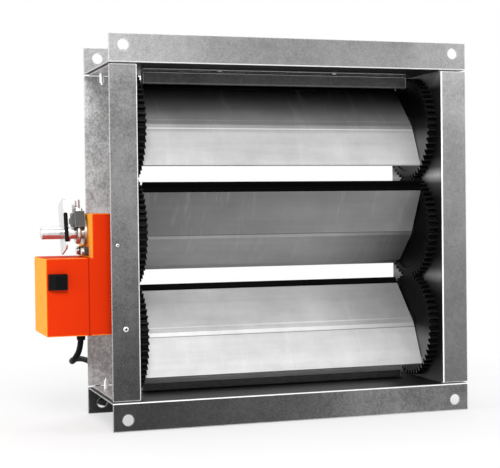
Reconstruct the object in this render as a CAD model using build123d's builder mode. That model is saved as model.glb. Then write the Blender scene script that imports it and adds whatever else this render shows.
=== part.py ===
from build123d import *
from math import acos, cos, pi, radians, sin, sqrt, tan
import os

# Opposed-blade volume control damper with a direct-coupled electric actuator.
# Millimetres. X runs along the blades, Y from the front flanges to the rear
# ones, Z up. The origin is the middle of the front flange face.

# ---- frame ----
frame_width = 360.0
frame_height = 364.0
frame_depth = 118.0
flange_height = 26.5          # from the duct side of a web to the free edge
sheet = 1.2
bend_radius = 1.6             # outside of each bend
corner_gap = 1.5              # between side flanges and the webs over them
flange_hole_diameter = 10.0
hole_from_end = 14.0
hole_from_edge = 10.5
tab_length = 22.0             # side channel end tabs, under the webs
tab_side_gap = 4.0

# ---- blades and gears ----
blade_end_gap = 5.5           # web to the outer gears' pitch circles
blade_names = ("lower", "middle", "upper")
rest_tilt = 37.0              # of each blade from its closed, upright stand
blade_half_thickness = 11.5
edge_half_thickness = 3.3
plain_edge_short = 1.0        # bare edge, short of half the pitch
seal_edge_short = 1.4         # blunt edge that holds the seal, the same
toe_inner_face = 1.4          # bare edge starts this far off the chord plane
rebate_length = 10.0          # pocket behind the bare edge for the next lip
rebate_depth_face = 1.6
seal_side_crease = 5.5        # creases lie this far below the axis
plain_side_crease = 1.0
blade_wall = 1.6
axle_tube_wall = 2.4
axle_rib = 2.4                # joins the axle tube to both walls
seal_base = 1.7               # rubber over the blunt edge
lip_near_face = 2.2           # lip's two faces, off the chord plane
lip_far_face = 4.2
lip_tip_taper = 0.6
lip_past_half = 6.0           # beyond half the pitch, behind the next bare edge
upper_lip_gap = 0.9           # the top lip is shorter, it passes under the web
groove_width = 2.2
groove_depth = 2.4
gear_teeth = 50
gear_thickness = 9.0
gear_web = 6.0
gear_web_gap = 1.2            # gear to side web
gear_rim = 4.5                # below the tooth roots
hub_radius = 13.0
root_depth = 1.25             # of a tooth, in modules
pressure_angle = 20.0
tooth_backlash = 0.30
lug_radius = 3.6
lug_length = 12.0
lug_at = 25.0

# ---- shafts and bearings ----
shaft_diameter = 12.0
running_clearance = 0.05
press_clearance = 0.03
bush_radius = 9.0
bush_flange_radius = 12.5
bush_flange = 2.0
bush_length = 5.0
shaft_in_blade = 36.0
shaft_past_bush = 2.0
shaft_chamfer = 0.8
shaft_past_plate = 20.8       # drive shaft's free end, past the indicator plate

# ---- stops ----
stop_thickness = 1.0
stop_face_height = 11.0
stop_web_gap = 3.5
stop_width = 8.0
stop_end_gap = 6.3            # stop to the gears' inner faces
stop_bend_radius = 1.3
stop_clearance = 0.8          # blade lip to stop plate, closed
stop_rivet_pitch = 120.0
stop_rivet_from_plate = 4.8
stop_rivet_radius = 1.57
stop_rivet_head_radius = 2.8
stop_rivet_head = 1.0
stop_rivet_play = 0.02
stop_seal_gap = 0.6
stop_seal_height = 6.0
stop_seal_back = 1.6
stop_lip_top = 1.4
stop_lip_bottom = 3.0

# ---- rivets ----
rivet_radius = 2.4
rivet_body_length = 10.0
rivet_head_radius = 4.6
rivet_head_crown = 2.8        # radius of the head's flat top
rivet_head_height = 1.5
rivet_from_end = 13.0
rivet_from_face = 26.0
mandrel_radius = 1.1
mandrel_length = 2.0
flange_rivet_height = 0.9
small_rivet_radius = 1.7
small_rivet_from_edge = 6.2
small_rivet_z = -11.3
large_rivet_radius = 2.6
large_rivet_from_edge = 13.0
large_rivet_z = -88.1

# ---- actuator ----
actuator_width = 66.0
base_from_web = 18.3          # side web to the actuator's back
base_thickness = 22.5         # back to the seam with the cover
tall_thickness = 19.0         # back to the face of the part round the hub
cover_depth = 40.0            # seam to the cover's far face
tall_top = 18.0
cover_top = -22.9
actuator_bottom = -95.0
housing_wall = 2.2
cover_wall = 2.0
housing_fillet = 1.5
hub_outer_radius = 10.0
hub_collar = 2.0              # collar over the base's face, wider by this
hub_collar_sink = 0.4
hub_back_gap = 0.2
hub_floor = 1.0               # solid end of the hub under the clamp
button_width = 16.8
button_height = 14.2
button_proud = 5.5
button_slope_share = 0.3      # sloping part of its width
button_slope_foot = 0.35      # height there, as a share of the full height
button_clearance = 0.4
button_rim = 1.5
button_rim_wide = 1.0
button_rim_high = 3.0
button_from_side = 2.6
button_below_top = 14.7
gland_radius = 4.4
gland_collar = 1.0
gland_collar_height = 1.5
gland_drop = 5.0
gland_taper = 4.0
gland_bore_play = 0.02
exit_from_seam = 5.5
exit_from_front = 14.0
screw_head_radius = 2.2
screw_head_height = 0.6
screw_inset = 6.0
screw_middle_y = 32.1
screw_middle_drop = 38.0

# ---- actuator drive ----
sector_module = 0.8
sector_teeth = 70
pinion_teeth = 12
sector_from_back = 11.5
sector_thickness = 4.0
sector_hub_wall = 3.0
sector_low = -151.0           # degrees, where the teeth start and end
sector_high = -45.0
pinion_past_sector = 1.0      # each side
pinion_shaft_radius = 1.5
pinion_shaft_length = 6.7     # into the gear motor's bore
plate_from_seam = 1.0
plate_thickness = 1.2
plate_gap = 0.3
motor_radius = 13.0
motor_length = 26.0
motor_drop = 8.0
motor_chamfer = 1.0
motor_bore_depth = 7.0
board_gap = 5.0
board_thickness = 1.6
board_width = 52.0
board_height = 48.0
board_shift = 2.0
board_drop = 43.1             # cover's top to the board's middle
board_post_radius = 2.2
board_post_inset = 4.0

# ---- clamp on the drive shaft ----
clamp_tilt = 15.0
saddle_gap = 2.6              # base's face to the clamp
jaw_thickness = 9.4
leg_from_face = 4.6
clamp_width = 32.0
clamp_bottom = 2.0
clamp_top = 17.0
bolt_wire_radius = 2.5
bolt_leg_top = 30.0
nut_radius = 4.6
nut_height = 4.2
indicator_from_clamp = 9.5
indicator_width = 32.0
indicator_height = 50.0
indicator_corner = 5.0
indicator_sheet = 1.5
indicator_boss_wall = 2.4
indicator_boss_length = 5.0
indicator_clearance = 0.5     # its corners to the cover's top as it turns
end_stop_at = 13.0            # each side of the hub
end_stop_z = -17.5
end_stop_width = 9.0
end_stop_height = 8.0
end_stop_corner = 1.5
end_stop_thickness = 4.5
end_screw_radius = 1.87
end_screw_head_radius = 3.4
end_screw_head = 2.0

# ---- mounting bracket ----
bracket_wide = 50.0
bracket_top = 14.0
bracket_foot = 13.0
bracket_foot_gap = 3.5        # lower foot to the lower bush's flange
bracket_sheet = 1.5
bracket_bend_radius = 1.95
bracket_hole_gap = 0.5
bracket_screw_radius = 4.2
bracket_screw_height = 3.0
bracket_screw_at = 15.0
bracket_screw_share = 0.6     # of the foot

# ---- supply cord ----
cable_diameter = 5.6
cord_length = 900.0
coil_turn_radius = 33.0
coil_from_side = 58.0         # coil's middle, in from the frame's side
coil_from_rear = 58.0         # and behind its rear flanges
coil_layers = 2
tail_shift = 34.0
tail_length = 26.0
landing_past_middle = 14.0    # cord meets the coil's floor turn, past its middle
# route points, from the gland's exit and then from where it meets the coil
from_exit = (
    (0.0, 0.0, 0.0), (0.0, 0.0, -16.5), (-5.5, 10.0, -30.0),
    (-4.0, 30.0, -33.0), (4.5, 54.0, -34.5), (16.0, 81.0, -38.0))
from_landing = (
    (-16.0, -46.0, 37.1), (-6.5, -32.5, 19.6), (-1.2, -18.5, 6.1), (0.0, 0.0, 0.0))
floor_gap = 0.1
bend_share = 0.45             # of the shorter run, taken by a bend
core_radius = 0.9
core_spread = 1.6
core_drop = 0.6
core_fan = 0.12
core_length = 10.0
ferrule_start = 8.0
ferrule_length = 7.0
ferrule_wall = 0.35

# ---- derived ----
half_width = frame_width / 2
half_height = frame_height / 2
web_x = half_width - flange_height            # duct side of the side webs
web_z = half_height - flange_height           # duct side of the top and bottom webs
web_out = -(web_x + sheet)                    # outer face of the left web
axis_y = frame_depth / 2
rows = (-1, 0, 1)
blade_pitch = 2 * (web_z - blade_end_gap) / len(rows)
gear_module = blade_pitch / gear_teeth
plain_edge_reach = blade_pitch / 2 - plain_edge_short
seal_edge_reach = blade_pitch / 2 - seal_edge_short
lip_reach = blade_pitch / 2 + lip_past_half
upper_lip_reach = web_z - blade_pitch - upper_lip_gap
gear_outer_x = web_x - gear_web_gap
gear_inner_x = gear_outer_x - gear_thickness
shaft_radius = shaft_diameter / 2
bush_bore = shaft_radius + running_clearance
floor_z = -half_height
pitch_radius = blade_pitch / 2
stop_half_length = gear_inner_x - stop_end_gap
base_back = web_out - base_from_web
base_seam = base_back - base_thickness
tall_face = base_back - tall_thickness
cover_front = base_seam - cover_depth
front_y = axis_y - actuator_width / 2
saddle_x = tall_face - saddle_gap
clamp_x = saddle_x - jaw_thickness
leg_x = clamp_x + leg_from_face
leg_y = shaft_radius + press_clearance + bolt_wire_radius
indicator_x = clamp_x - indicator_from_clamp
drive_shaft_end = indicator_x - shaft_past_plate
cable_exit_x = base_seam - exit_from_seam
cable_exit_y = front_y + exit_from_front
cable_exit_z = actuator_bottom + cover_wall + gland_collar_height
cord_radius = cable_diameter / 2
bracket_bottom = -(blade_pitch - bush_flange_radius - bracket_foot - bracket_foot_gap)
button_top = cover_top - button_below_top

os.makedirs("parts", exist_ok=True)


def save(builder, name):
    builder.part.label = name
    export_step(builder.part, f"parts/{name}.step")


def involute(angle):
    return tan(angle) - angle


def gear_points(teeth, module, phase_deg, steps=1):
    """Corners of a spur gear, its first tooth at phase_deg."""
    pitch = teeth * module / 2
    base = pitch * cos(radians(pressure_angle))
    root = pitch - root_depth * module
    tip = pitch + module
    half_tooth = pi / (2 * teeth) - tooth_backlash / 2 / pitch + involute(radians(pressure_angle))
    flank = []
    for step in range(steps + 1):
        radius = root + (tip - root) * step / steps
        flank.append((radius, half_tooth - involute(acos(min(1.0, base / radius)))))
    points = []
    for tooth in range(teeth):
        middle = radians(phase_deg) + 2 * pi * tooth / teeth
        for radius, half in flank:
            points.append((radius * cos(middle - half), radius * sin(middle - half)))
        for radius, half in reversed(flank):
            points.append((radius * cos(middle + half), radius * sin(middle + half)))
    return points


# ---------------- frame channels ----------------
# Each is a U of bent sheet with its flanges turned away from the duct.
hole_x = half_width - hole_from_end
hole_z = half_height - hole_from_edge
rivet_x = half_width - rivet_from_end
rivet_ys = (rivet_from_face, frame_depth - rivet_from_face)

for name, side in (("top_channel", 1), ("bottom_channel", -1)):
    with BuildPart() as channel:
        with BuildSketch(Plane.YZ.offset(-half_width)):
            with BuildLine():
                FilletPolyline(
                    (0, side * half_height), (0, side * web_z),
                    (frame_depth, side * web_z), (frame_depth, side * half_height),
                    radius=bend_radius)
                offset(amount=sheet, side=Side.LEFT if side > 0 else Side.RIGHT)
            make_face()
        extrude(amount=frame_width)
        with BuildSketch(Plane.XZ):
            with Locations((hole_x, side * hole_z), (-hole_x, side * hole_z)):
                Circle(flange_hole_diameter / 2)
        extrude(amount=-frame_depth, mode=Mode.SUBTRACT)
        with BuildSketch(Plane.XY.offset(side * web_z)):
            with Locations([(x, y) for x in (-rivet_x, rivet_x) for y in rivet_ys]):
                Circle(rivet_radius + press_clearance)
        extrude(amount=side * 2 * sheet, mode=Mode.SUBTRACT)
    save(channel, name)

side_half_height = web_z - corner_gap
for name, side in (("left_channel", -1), ("right_channel", 1)):
    with BuildPart() as channel:
        with BuildSketch(Plane.XY.offset(-side_half_height)):
            with BuildLine():
                FilletPolyline(
                    (side * half_width, 0), (side * web_x, 0),
                    (side * web_x, frame_depth), (side * half_width, frame_depth),
                    radius=bend_radius)
                offset(amount=sheet, side=Side.RIGHT if side > 0 else Side.LEFT)
            make_face()
        extrude(amount=2 * side_half_height)
        for end in (1, -1):
            with BuildSketch(Plane.XZ.offset(-tab_side_gap)):
                with BuildLine():
                    FilletPolyline(
                        (side * web_x, end * (side_half_height - corner_gap)),
                        (side * web_x, end * web_z),
                        (side * (web_x + tab_length), end * web_z),
                        radius=bend_radius)
                    offset(amount=sheet, side=Side.RIGHT if side * end > 0 else Side.LEFT)
                make_face()
            extrude(amount=-(frame_depth - 2 * tab_side_gap))
        with BuildSketch(Plane.YZ.offset(side * (web_x - sheet))):
            with Locations([(axis_y, blade_pitch * row) for row in rows]):
                Circle(bush_radius + press_clearance)
        extrude(amount=side * 3 * sheet, mode=Mode.SUBTRACT)
        with BuildSketch(Plane.XY.offset(-web_z)):
            with Locations([(side * rivet_x, y) for y in rivet_ys]):
                Circle(rivet_radius + press_clearance)
        extrude(amount=2 * web_z, mode=Mode.SUBTRACT)
    save(channel, name)

# Blind rivets: head in the channel trough, body and mandrel in the corner.
with BuildPart() as rivets:
    for side in (1, -1):
        for x in (-rivet_x, rivet_x):
            for y in rivet_ys:
                head_z = web_z + sheet
                with BuildSketch(Plane(origin=(x, y, 0), x_dir=(1, 0, 0), z_dir=(0, -1, 0))):
                    with BuildLine():
                        Polyline(
                            (0, side * (head_z + rivet_head_height)),
                            (rivet_head_crown, side * (head_z + rivet_head_height)),
                            (rivet_head_radius, side * head_z),
                            (rivet_radius, side * head_z),
                            (rivet_radius, side * (web_z - rivet_body_length)),
                            (mandrel_radius, side * (web_z - rivet_body_length)),
                            (mandrel_radius, side * (web_z - rivet_body_length - mandrel_length)),
                            (0, side * (web_z - rivet_body_length - mandrel_length)),
                            close=True)
                    make_face()
                revolve(axis=Axis((x, y, 0), (0, 0, 1)))
save(rivets, "corner_rivets")

# ---------------- blades, seals, gears, shafts ----------------
# A blade is one hollow extrusion. Its seal lip and its bare edge both sit on
# the same side of the chord, so that each lip passes behind the next bare edge
# as the blades close. The middle blade is turned round and counter-rotates.


def lens(u, crease, reach_up, reach_down):
    """Half thickness of the blade at height u above its axis."""
    reach = reach_up if u > -crease else reach_down
    share = abs(u + crease) / (reach + crease if u > -crease else reach - crease)
    return blade_half_thickness - share * (blade_half_thickness - edge_half_thickness)


def side_points(crease, inset, low, high):
    """One wall of the blade from u = low up to u = high, over its crease."""
    ends = []
    for u in (low, -crease, high):
        ends.append((u, lens(u, crease, seal_edge_reach, plain_edge_reach) - inset))
    return ends


def blade_plane(row, x):
    """Blade section plane: local x is up the chord, local y is to the seal side."""
    turn = radians(rest_tilt if row == 0 else -rest_tilt)
    chord = (0, -sin(turn), cos(turn))
    normal = (1, 0, 0) if row != 0 else (-1, 0, 0)
    return Plane(origin=(x, axis_y, row * blade_pitch), x_dir=chord, z_dir=normal)


rebate_end = -plain_edge_reach + rebate_length
groove_bottom = seal_edge_reach - groove_depth
hollow_top = groove_bottom - blade_wall
hollow_bottom = rebate_end + blade_wall
gear_root = pitch_radius - root_depth * gear_module

for row, blade_name in zip(rows, blade_names):
    along = 1 if row != 0 else -1             # sketch normal points to +X or -X
    start = blade_plane(row, -along * gear_inner_x)
    with BuildPart() as blade:
        with BuildSketch(start):
            plus = side_points(seal_side_crease, 0, -plain_edge_reach, seal_edge_reach)
            minus = side_points(plain_side_crease, 0, rebate_end, seal_edge_reach)
            with BuildLine():
                Polyline(
                    *plus,
                    *[(u, -v) for u, v in reversed(minus)],
                    (rebate_end, -rebate_depth_face),
                    (-plain_edge_reach, toe_inner_face),
                    close=True)
            make_face()
            plus = side_points(seal_side_crease, blade_wall, hollow_bottom, hollow_top)
            minus = side_points(plain_side_crease, blade_wall, hollow_bottom, hollow_top)
            with BuildLine():
                Polyline(*plus, *[(u, -v) for u, v in reversed(minus)], close=True)
            make_face(mode=Mode.SUBTRACT)
            with Locations((groove_bottom + groove_depth / 2, 0)):
                Rectangle(groove_depth, groove_width, mode=Mode.SUBTRACT)
            Circle(shaft_radius + axle_tube_wall)
            Rectangle(axle_rib, 2 * blade_half_thickness - blade_wall)
            Circle(shaft_radius + press_clearance, mode=Mode.SUBTRACT)
        extrude(amount=2 * gear_inner_x)
    save(blade, f"{blade_name}_blade")

    reach = upper_lip_reach if row == 1 else lip_reach
    with BuildPart() as seal:
        with BuildSketch(start):
            with BuildLine():
                Polyline(
                    (groove_bottom + press_clearance, -groove_width / 2 + press_clearance),
                    (seal_edge_reach, -groove_width / 2 + press_clearance),
                    (seal_edge_reach, -edge_half_thickness),
                    (seal_edge_reach + seal_base, -edge_half_thickness),
                    (seal_edge_reach + seal_base, lip_near_face),
                    (reach, lip_near_face),
                    (reach, lip_far_face - lip_tip_taper),
                    (seal_edge_reach + seal_base, lip_far_face),
                    (seal_edge_reach, edge_half_thickness),
                    (seal_edge_reach, groove_width / 2 - press_clearance),
                    (groove_bottom + press_clearance, groove_width / 2 - press_clearance),
                    close=True)
            make_face()
        extrude(amount=2 * gear_inner_x)
    save(seal, f"{blade_name}_blade_seal")

# Gears: the middle one starts half a tooth round, so that it meshes.
for side, side_name in ((-1, "left"), (1, "right")):
    for row, blade_name in zip(rows, blade_names):
        phase = 180 / gear_teeth if row == 0 else 0
        turn = radians(rest_tilt if row == 0 else -rest_tilt)
        inner = Plane(
            origin=(side * gear_inner_x, axis_y, row * blade_pitch),
            x_dir=(0, 0, 1), z_dir=(side, 0, 0))
        lug_plane = Plane(
            origin=inner.origin, x_dir=(0, -sin(turn), cos(turn)), z_dir=(-side, 0, 0))
        recess = (gear_thickness - gear_web) / 2
        with BuildPart() as gear:
            with BuildSketch(inner):
                with BuildLine():
                    Polyline(*gear_points(gear_teeth, gear_module, phase), close=True)
                make_face()
                Circle(shaft_radius + press_clearance, mode=Mode.SUBTRACT)
            extrude(amount=gear_thickness)
            for face_plane in (inner.offset(0), inner.offset(gear_thickness - recess)):
                with BuildSketch(face_plane):
                    Circle(gear_root - gear_rim)
                    Circle(hub_radius, mode=Mode.SUBTRACT)
                extrude(amount=recess, mode=Mode.SUBTRACT)
            with BuildSketch(lug_plane.offset(-recess)):
                with Locations((lug_at, 0), (-lug_at, 0)):
                    Circle(lug_radius)
            extrude(amount=recess + lug_length)
        save(gear, f"{side_name}_{blade_name}_gear")

        with BuildPart() as bush:
            with BuildSketch(Plane.YZ.offset(side * web_x)):
                with Locations((axis_y, row * blade_pitch)):
                    Circle(bush_radius)
                    Circle(bush_bore, mode=Mode.SUBTRACT)
            extrude(amount=side * bush_length)
            with BuildSketch(Plane.YZ.offset(side * (web_x + sheet))):
                with Locations((axis_y, row * blade_pitch)):
                    Circle(bush_flange_radius)
                    Circle(bush_bore, mode=Mode.SUBTRACT)
            extrude(amount=side * bush_flange)
        save(bush, f"{side_name}_{blade_name}_bush")

        driven = side < 0 and row == 0
        outer_end = -drive_shaft_end if driven else web_x + bush_length + shaft_past_bush
        with BuildPart() as shaft:
            with BuildSketch(Plane.YZ.offset(side * (gear_inner_x - shaft_in_blade))):
                with Locations((axis_y, row * blade_pitch)):
                    Circle(shaft_radius)
            extrude(amount=side * (outer_end - gear_inner_x + shaft_in_blade))
            end_face = shaft.faces().sort_by(Axis.X)[0 if side < 0 else -1]
            chamfer(end_face.edges(), length=shaft_chamfer)
        save(shaft, "drive_shaft" if driven else f"{side_name}_{blade_name}_shaft")

# ---------------- stops ----------------
# A gutter of thin sheet under each web. Its back plate, screwed to the web by
# a foot, stops the blade edge; its front face stands free of the web.
stop_rivet_xs = (-stop_rivet_pitch / 2, stop_rivet_pitch / 2)
upper_stop_y = axis_y - lip_far_face - stop_clearance
lower_stop_y = axis_y + lip_far_face + stop_clearance
stop_depth = stop_web_gap + stop_face_height
for name, side, plate_y, away in (
        ("upper_stop_strip", 1, upper_stop_y, -1), ("lower_stop_strip", -1, lower_stop_y, 1)):
    with BuildPart() as strip:
        with BuildSketch(Plane.YZ.offset(-stop_half_length)):
            with BuildLine():
                FilletPolyline(
                    (plate_y + away * stop_width, side * web_z),
                    (plate_y, side * web_z),
                    (plate_y, side * (web_z - stop_depth)),
                    (plate_y + away * stop_width, side * (web_z - stop_depth)),
                    (plate_y + away * stop_width, side * (web_z - stop_web_gap)),
                    radius=stop_bend_radius)
                offset(amount=stop_thickness, side=Side.LEFT if side * away > 0 else Side.RIGHT)
            make_face()
        extrude(amount=2 * stop_half_length)
        with BuildSketch(Plane.XY.offset(side * (web_z - 2 * stop_thickness))):
            with Locations([(x, plate_y + away * stop_rivet_from_plate) for x in stop_rivet_xs]):
                Circle(stop_rivet_radius + press_clearance)
        extrude(amount=side * 2 * stop_thickness, mode=Mode.SUBTRACT)
    save(strip, name)

with BuildPart() as stop_seal:
    seal_top = -(web_z - stop_depth) - stop_seal_gap
    with BuildSketch(Plane.YZ.offset(-stop_half_length)):
        with BuildLine():
            Polyline(
                (lower_stop_y, seal_top),
                (lower_stop_y, seal_top - stop_seal_height),
                (lower_stop_y - stop_seal_back, seal_top - stop_seal_height),
                (axis_y + lip_near_face, seal_top - stop_lip_bottom),
                (axis_y + lip_near_face, seal_top - stop_lip_top),
                (lower_stop_y - stop_seal_back, seal_top),
                close=True)
        make_face()
    extrude(amount=2 * stop_half_length)
save(stop_seal, "lower_stop_seal")

with BuildPart() as stop_rivets:
    for side, plate_y, away in ((1, upper_stop_y, -1), (-1, lower_stop_y, 1)):
        for x in stop_rivet_xs:
            rivet_y = plate_y + away * stop_rivet_from_plate
            foot = side * (web_z - stop_thickness)
            with BuildSketch(Plane.XY.offset(foot)):
                with Locations((x, rivet_y)):
                    Circle(stop_rivet_radius)
            extrude(amount=side * (stop_thickness - stop_rivet_play))
            with BuildSketch(Plane.XY.offset(foot)):
                with Locations((x, rivet_y)):
                    Circle(stop_rivet_head_radius)
            extrude(amount=-side * stop_rivet_head)
save(stop_rivets, "stop_rivets")

# Two pop rivets in the left front flange.
with BuildPart() as flange_rivets:
    for from_edge, z, radius in (
            (small_rivet_from_edge, small_rivet_z, small_rivet_radius),
            (large_rivet_from_edge, large_rivet_z, large_rivet_radius)):
        with BuildSketch(Plane.XZ):
            with Locations((from_edge - half_width, z)):
                Circle(radius)
        extrude(amount=flange_rivet_height)
save(flange_rivets, "flange_rivets")

# ---------------- actuator ----------------
inside_y = actuator_width / 2 - housing_wall
across = Plane.XZ.offset(-front_y)

with BuildPart() as base:
    with BuildSketch(across):
        with BuildLine():
            Polyline(
                (base_back, actuator_bottom), (base_back, tall_top),
                (tall_face, tall_top), (tall_face, cover_top),
                (base_seam, cover_top), (base_seam, actuator_bottom), close=True)
        make_face()
    extrude(amount=-actuator_width)
    long_edges = base.edges().filter_by(Axis.Y).group_by(Axis.Z)[-1]
    fillet(long_edges, radius=housing_fillet)
    with BuildSketch(across.offset(-housing_wall)):
        with BuildLine():
            Polyline(
                (base_back - housing_wall, actuator_bottom + housing_wall),
                (base_back - housing_wall, tall_top - housing_wall),
                (tall_face + housing_wall, tall_top - housing_wall),
                (tall_face + housing_wall, cover_top - housing_wall),
                (base_seam, cover_top - housing_wall),
                (base_seam, actuator_bottom + housing_wall), close=True)
        make_face()
    extrude(amount=-2 * inside_y, mode=Mode.SUBTRACT)
    with BuildSketch(Plane.YZ.offset(base_back)):
        with Locations((axis_y, 0)):
            Circle(hub_outer_radius + running_clearance)
    extrude(amount=tall_face - base_back, mode=Mode.SUBTRACT)
save(base, "actuator_base")

button_left = cover_front + button_from_side
button_middle_x = button_left + button_width / 2
button_middle_z = button_top - button_height / 2
with BuildPart() as cover:
    with BuildSketch(across):
        with Locations(((cover_front + base_seam) / 2, (cover_top + actuator_bottom) / 2)):
            Rectangle(base_seam - cover_front, cover_top - actuator_bottom)
    extrude(amount=-actuator_width)
    outer_rim = cover.faces().sort_by(Axis.X)[0].edges()
    fillet(outer_rim, radius=housing_fillet)
    with BuildSketch(across.offset(-cover_wall)):
        with Locations(((cover_front + cover_wall + base_seam) / 2,
                        (cover_top + actuator_bottom) / 2)):
            Rectangle(base_seam - cover_front - cover_wall,
                      cover_top - actuator_bottom - 2 * cover_wall)
    extrude(amount=-(actuator_width - 2 * cover_wall), mode=Mode.SUBTRACT)
    with BuildSketch(across):
        with Locations((button_middle_x, button_middle_z)):
            Rectangle(button_width + 2 * button_clearance, button_height + 2 * button_clearance)
    extrude(amount=-cover_wall, mode=Mode.SUBTRACT)
    with BuildSketch(Plane.XY.offset(actuator_bottom)):
        with Locations((cable_exit_x, cable_exit_y)):
            Circle(gland_radius + press_clearance)
    extrude(amount=cover_wall, mode=Mode.SUBTRACT)
save(cover, "actuator_cover")

# Push button: its left third slopes back, and a rim inside keeps it in.
with BuildPart() as button:
    with BuildSketch(Plane.XY.offset(button_middle_z - button_height / 2)):
        with BuildLine():
            Polyline(
                (button_left, front_y + cover_wall + button_clearance),
                (button_left, front_y - button_proud * button_slope_foot),
                (button_left + button_width * button_slope_share, front_y - button_proud),
                (button_left + button_width, front_y - button_proud),
                (button_left + button_width, front_y + cover_wall + button_clearance),
                close=True)
        make_face()
    extrude(amount=button_height)
    with BuildSketch(Plane.XZ.offset(-(front_y + cover_wall + button_clearance))):
        with Locations((button_middle_x + button_rim_wide, button_middle_z)):
            Rectangle(button_width + button_rim_wide, button_height + button_rim_high)
    extrude(amount=-button_rim)
save(button, "push_button")

# ---------------- actuator drive ----------------
# A hollow hub carries a sector gear; the gear motor's pinion turns it.
sector_x = base_back - sector_from_back
sector_radius = sector_module * sector_teeth / 2
pinion_radius = sector_module * pinion_teeth / 2
pinion_z = -(sector_radius + pinion_radius)
plate_x = base_seam + plate_from_seam

with BuildPart() as hub:
    with BuildSketch(Plane.YZ.offset(base_back - hub_back_gap)):
        with Locations((axis_y, 0)):
            Circle(hub_outer_radius)
    extrude(amount=saddle_x - base_back + hub_back_gap)
    with BuildSketch(Plane.YZ.offset(tall_face - hub_collar_sink)):
        with Locations((axis_y, 0)):
            Circle(hub_outer_radius + hub_collar)
    extrude(amount=saddle_x - tall_face + hub_collar_sink)
    with BuildSketch(Plane.YZ.offset(base_back)):
        with Locations((axis_y, 0)):
            Circle(shaft_radius + press_clearance)
    extrude(amount=saddle_x - base_back - hub_floor, mode=Mode.SUBTRACT)
save(hub, "drive_hub")

with BuildPart() as sector:
    with BuildSketch(Plane(origin=(sector_x, axis_y, 0), x_dir=(0, 1, 0), z_dir=(1, 0, 0))):
        with BuildLine():
            Polyline(*gear_points(sector_teeth, sector_module, -90, 2), close=True)
        make_face()
        with BuildLine():
            low = radians(sector_low)
            high = radians(sector_high)
            far = 3 * sector_radius
            Polyline(
                (0, 0), (far * cos(low), far * sin(low)),
                (0, -2 * far), (far * cos(high), far * sin(high)), close=True)
        make_face(mode=Mode.INTERSECT)
        Circle(hub_outer_radius + sector_hub_wall)
        Circle(hub_outer_radius + press_clearance, mode=Mode.SUBTRACT)
    extrude(amount=sector_thickness)
save(sector, "sector_gear")

with BuildPart() as pinion:
    pinion_plane = Plane(
        origin=(sector_x - pinion_past_sector, axis_y, pinion_z), x_dir=(0, 1, 0), z_dir=(1, 0, 0))
    with BuildSketch(pinion_plane):
        with BuildLine():
            Polyline(*gear_points(pinion_teeth, sector_module, 90 + 180 / pinion_teeth, 2),
                     close=True)
        make_face()
    extrude(amount=sector_thickness + 2 * pinion_past_sector)
    with BuildSketch(pinion_plane):
        Circle(pinion_shaft_radius)
    extrude(amount=plate_x - pinion_shaft_length - sector_x + pinion_past_sector)
save(pinion, "motor_pinion")

plate_top = cover_top - housing_wall - plate_gap
plate_bottom = actuator_bottom + housing_wall + plate_gap
with BuildPart() as gear_plate:
    with BuildSketch(Plane.YZ.offset(plate_x)):
        with Locations((axis_y, (plate_top + plate_bottom) / 2)):
            Rectangle(2 * (inside_y - plate_gap), plate_top - plate_bottom)
        with Locations((axis_y, pinion_z)):
            Circle(pinion_shaft_radius + running_clearance, mode=Mode.SUBTRACT)
    extrude(amount=plate_thickness)
save(gear_plate, "gear_plate")

with BuildPart() as motor:
    with BuildSketch(Plane.YZ.offset(plate_x)):
        with Locations((axis_y, pinion_z - motor_drop)):
            Circle(motor_radius)
    extrude(amount=-motor_length)
    with BuildSketch(Plane.YZ.offset(plate_x)):
        with Locations((axis_y, pinion_z)):
            Circle(pinion_shaft_radius + running_clearance)
    extrude(amount=-motor_bore_depth, mode=Mode.SUBTRACT)
    chamfer(motor.faces().sort_by(Axis.X)[0].edges(), length=motor_chamfer)
save(motor, "gear_motor")

board_y = axis_y + board_shift
board_z = cover_top - board_drop
board_post_y = board_width / 2 - board_post_inset
board_post_z = board_height / 2 - board_post_inset
with BuildPart() as board:
    with BuildSketch(Plane.YZ.offset(cover_front + cover_wall + board_gap)):
        with Locations((board_y, board_z)):
            Rectangle(board_width, board_height)
    extrude(amount=board_thickness)
    with BuildSketch(Plane.YZ.offset(cover_front + cover_wall)):
        with Locations([(board_y + y, board_z + z) for y in (-board_post_y, board_post_y)
                        for z in (-board_post_z, board_post_z)]):
            Circle(board_post_radius)
    extrude(amount=board_gap)
save(board, "circuit_board")


# ---------------- clamp on the drive shaft ----------------
def clamp_plane(x):
    """Plane across the shaft at x, leaned with the clamp; local y is up."""
    lean = radians(clamp_tilt)
    return Plane(origin=(x, axis_y, 0), x_dir=(0, cos(lean), -sin(lean)), z_dir=(1, 0, 0))


with BuildPart() as jaw:
    with BuildSketch(clamp_plane(clamp_x)):
        with Locations((0, (clamp_bottom + clamp_top) / 2)):
            Rectangle(clamp_width, clamp_top - clamp_bottom)
        Circle(shaft_radius + press_clearance, mode=Mode.SUBTRACT)
    extrude(amount=saddle_x - clamp_x)
    with BuildSketch(Plane(origin=clamp_plane(leg_x).origin, x_dir=clamp_plane(leg_x).x_dir,
                           z_dir=clamp_plane(leg_x).y_dir)):
        with Locations((leg_y, 0), (-leg_y, 0)):
            Circle(bolt_wire_radius + press_clearance)
    extrude(amount=2 * clamp_top, mode=Mode.SUBTRACT)
save(jaw, "clamp_jaw")

with BuildPart() as u_bolt:
    bolt_plane = clamp_plane(leg_x)
    with BuildLine(bolt_plane) as bolt_path:
        Line((-leg_y, bolt_leg_top), (-leg_y, 0))
        ThreePointArc((-leg_y, 0), (0, -leg_y), (leg_y, 0))
        Line((leg_y, 0), (leg_y, bolt_leg_top))
    with BuildSketch(Plane(origin=bolt_path.line @ 0, z_dir=bolt_path.line % 0)):
        Circle(bolt_wire_radius)
    sweep()
save(u_bolt, "u_bolt")

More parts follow.
